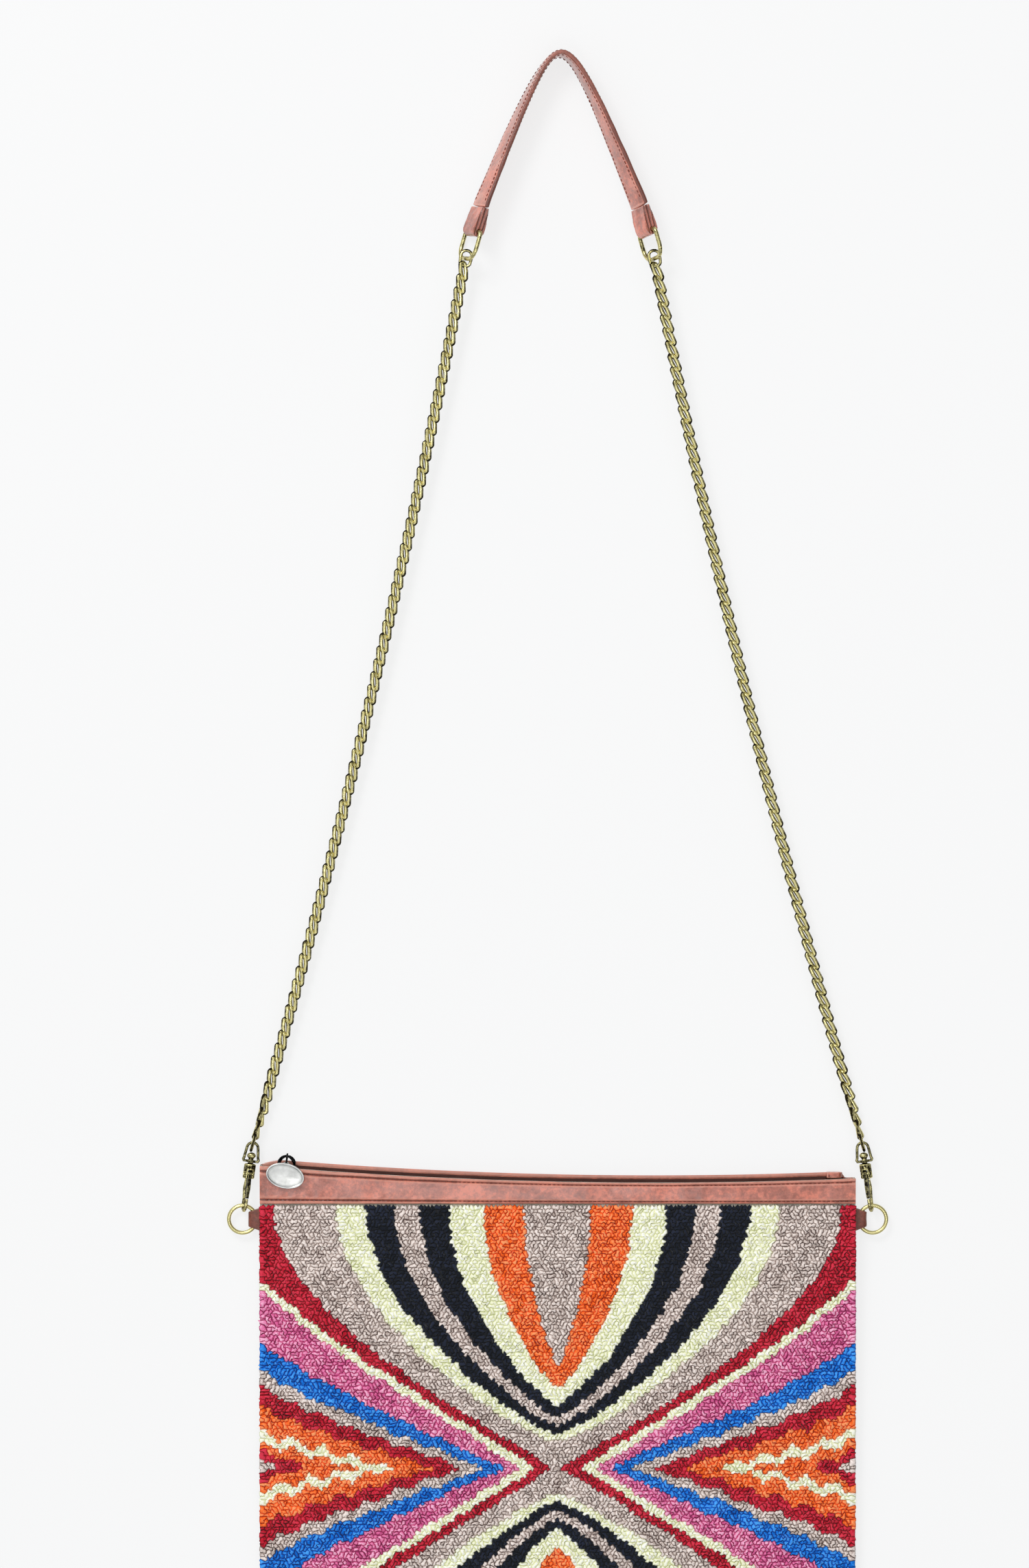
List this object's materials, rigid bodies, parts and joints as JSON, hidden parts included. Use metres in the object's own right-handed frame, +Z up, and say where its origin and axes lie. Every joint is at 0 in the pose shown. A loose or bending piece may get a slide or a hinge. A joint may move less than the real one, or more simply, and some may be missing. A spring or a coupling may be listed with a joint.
{
  "type": "clutch_bag",
  "caption": "Flat zip clutch bag with a chevron-embroidered front, leather mouth bands and a detachable antique-brass chain shoulder strap with a leather pad",
  "frame": {"origin": "on the ground under the middle of the bag's back panel, which is the face that the bag lies on", "axes": "+X to the right along the bag's width, +Y from the bag's bottom edge to its mouth and on along the strap, +Z up out of the embroidered front"},
  "size_m": [0.3392, 0.8597, 0.02],
  "materials": {
    "antique_brass": "antique brass plate, darker in the hollows",
    "back_cloth": "plain black woven backing cloth",
    "black_metal": "black enamelled zinc",
    "canvas": "undyed cotton canvas under the stitching",
    "disc_metal": "satin nickel",
    "leather": "smooth red-brown leather with stitched edges",
    "lining_cloth": "plain cotton lining",
    "spring_steel": "bright spring steel",
    "yarn_black": "looped black yarn, matt",
    "yarn_blue": "looped blue yarn, matt",
    "yarn_cream": "looped cream yarn, matt",
    "yarn_orange": "looped orange yarn, matt",
    "yarn_pink": "looped pink yarn, matt",
    "yarn_red": "looped red yarn, matt",
    "yarn_taupe": "looped taupe yarn, matt",
    "zip_coil": "nylon coil",
    "zip_tape": "dark brown woven zip tape"
  },
  "bodies": {
    "bag": {"pile_cross_taupe": "yarn_taupe", "pile_left_1_red": "yarn_red", "pile_left_2_pink": "yarn_pink", "pile_left_3_blue": "yarn_blue", "pile_left_4_red": "yarn_red", "pile_left_5_orange": "yarn_orange", "pile_left_6_cream": "yarn_cream", "pile_lower_1_taupe": "yarn_taupe", "pile_lower_2_orange": "yarn_orange", "pile_lower_3_cream": "yarn_cream", "pile_lower_4_black": "yarn_black", "pile_lower_5_cream": "yarn_cream", "pile_right_1_red": "yarn_red", "pile_right_2_pink": "yarn_pink", "pile_right_3_blue": "yarn_blue", "pile_right_4_red": "yarn_red", "pile_right_5_orange": "yarn_orange", "pile_right_6_cream": "yarn_cream", "pile_upper_1_taupe": "yarn_taupe", "pile_upper_2_orange": "yarn_orange", "pile_upper_3_cream": "yarn_cream", "pile_upper_4_black": "yarn_black", "pile_upper_5_cream": "yarn_cream", "back_panel": "back_cloth", "front_canvas": "canvas", "lining": "lining_cloth", "front_band": "leather", "rear_band": "leather", "zip_tape_front": "zip_tape", "zip_tape_rear": "zip_tape", "zip_coil_front": "zip_coil", "zip_coil_rear": "zip_coil", "zip_top_stop_front": "black_metal", "zip_top_stop_rear": "black_metal", "zip_bottom_stop": "black_metal", "zip_end_tab": "leather", "side_tab_left": "leather", "side_tab_right": "leather"},
    "slider": {"zip_slider": "black_metal"},
    "pull_link": {"zip_pull_link": "black_metal"},
    "pull_disc": {"zip_pull_disc": "disc_metal"},
    "side_ring_left": {"side_ring_left": "antique_brass"},
    "side_ring_right": {"side_ring_right": "antique_brass"},
    "strap": {"shoulder_pad": "leather", "pad_loop_left": "leather", "pad_loop_right": "leather", "chain_left": "antique_brass", "chain_right": "antique_brass", "swivel_eye_left": "antique_brass", "swivel_eye_right": "antique_brass"},
    "upper_ring_left": {"upper_ring_left": "antique_brass"},
    "hook_left": {"hook_body_left": "antique_brass", "gate_pin_left": "antique_brass", "gate_spring_left": "spring_steel"},
    "gate_left": {"hook_gate_left": "antique_brass"},
    "upper_ring_right": {"upper_ring_right": "antique_brass"},
    "hook_right": {"hook_body_right": "antique_brass", "gate_pin_right": "antique_brass", "gate_spring_right": "spring_steel"},
    "gate_right": {"hook_gate_right": "antique_brass"}
  },
  "joints": [
    {"name": "zip_slide", "type": "hinge", "parent": "bag", "child": "slider", "pos_m": [0.05, 2.4871, 0.00525], "axis": [0, 0, 1], "range_deg": [0, 6.6]},
    {"name": "pull_lift", "type": "hinge", "parent": "slider", "child": "pull_link", "pos_m": [-0.13861, 0.15045, 0.00525], "axis": [0.9968, -0.0805, 0], "range_deg": [-150, 0]},
    {"name": "disc_swing", "type": "hinge", "parent": "pull_link", "child": "pull_disc", "pos_m": [-0.13892, 0.14671, 0.01175], "axis": [0.0697, 0.8632, 0.5], "range_deg": [-6, 6]},
    {"name": "strap_swing", "type": "hinge", "parent": "bag", "child": "strap", "pos_m": [0, 0.12493, 0.0042], "axis": [1, 0, 0], "range_deg": [-140, 100]},
    {"name": "side_ring_left_tilt", "type": "hinge", "parent": "bag", "child": "side_ring_left", "pos_m": [-0.1546, 0.118, 0.0042], "axis": [0, 1, 0], "range_deg": [0, 12]},
    {"name": "side_ring_right_tilt", "type": "hinge", "parent": "bag", "child": "side_ring_right", "pos_m": [0.1546, 0.118, 0.0042], "axis": [0, -1, 0], "range_deg": [0, 12]},
    {"name": "upper_ring_left_tilt", "type": "hinge", "parent": "strap", "child": "upper_ring_left", "pos_m": [-0.04306, 0.62404, 0.0104], "axis": [0.4062, -0.1165, 0.9063], "range_deg": [-2, 2]},
    {"name": "upper_ring_right_tilt", "type": "hinge", "parent": "strap", "child": "upper_ring_right", "pos_m": [0.04566, 0.62404, 0.0104], "axis": [0.4062, 0.1165, 0.9063], "range_deg": [-2, 2]},
    {"name": "swivel_left", "type": "hinge", "parent": "strap", "child": "hook_left", "pos_m": [-0.16107, 0.12156, 0.005], "axis": [0.1392, 0.9903, 0], "range_deg": [-25, 3]},
    {"name": "swivel_right", "type": "hinge", "parent": "strap", "child": "hook_right", "pos_m": [0.16107, 0.12156, 0.005], "axis": [-0.1392, 0.9903, 0], "range_deg": [-3, 25]},
    {"name": "gate_left", "type": "hinge", "parent": "hook_left", "child": "gate_left", "pos_m": [-0.15806, 0.14133, 0.00587], "axis": [0.9565, -0.1344, -0.2588], "range_deg": [0, 22], "stiffness_Nm_per_rad": 0.004, "springref_deg": -8.59},
    {"name": "gate_right", "type": "hinge", "parent": "hook_right", "child": "gate_right", "pos_m": [0.15806, 0.14133, 0.00587], "axis": [0.9565, 0.1344, 0.2588], "range_deg": [0, 22], "stiffness_Nm_per_rad": 0.004, "springref_deg": -8.59}
  ]
}
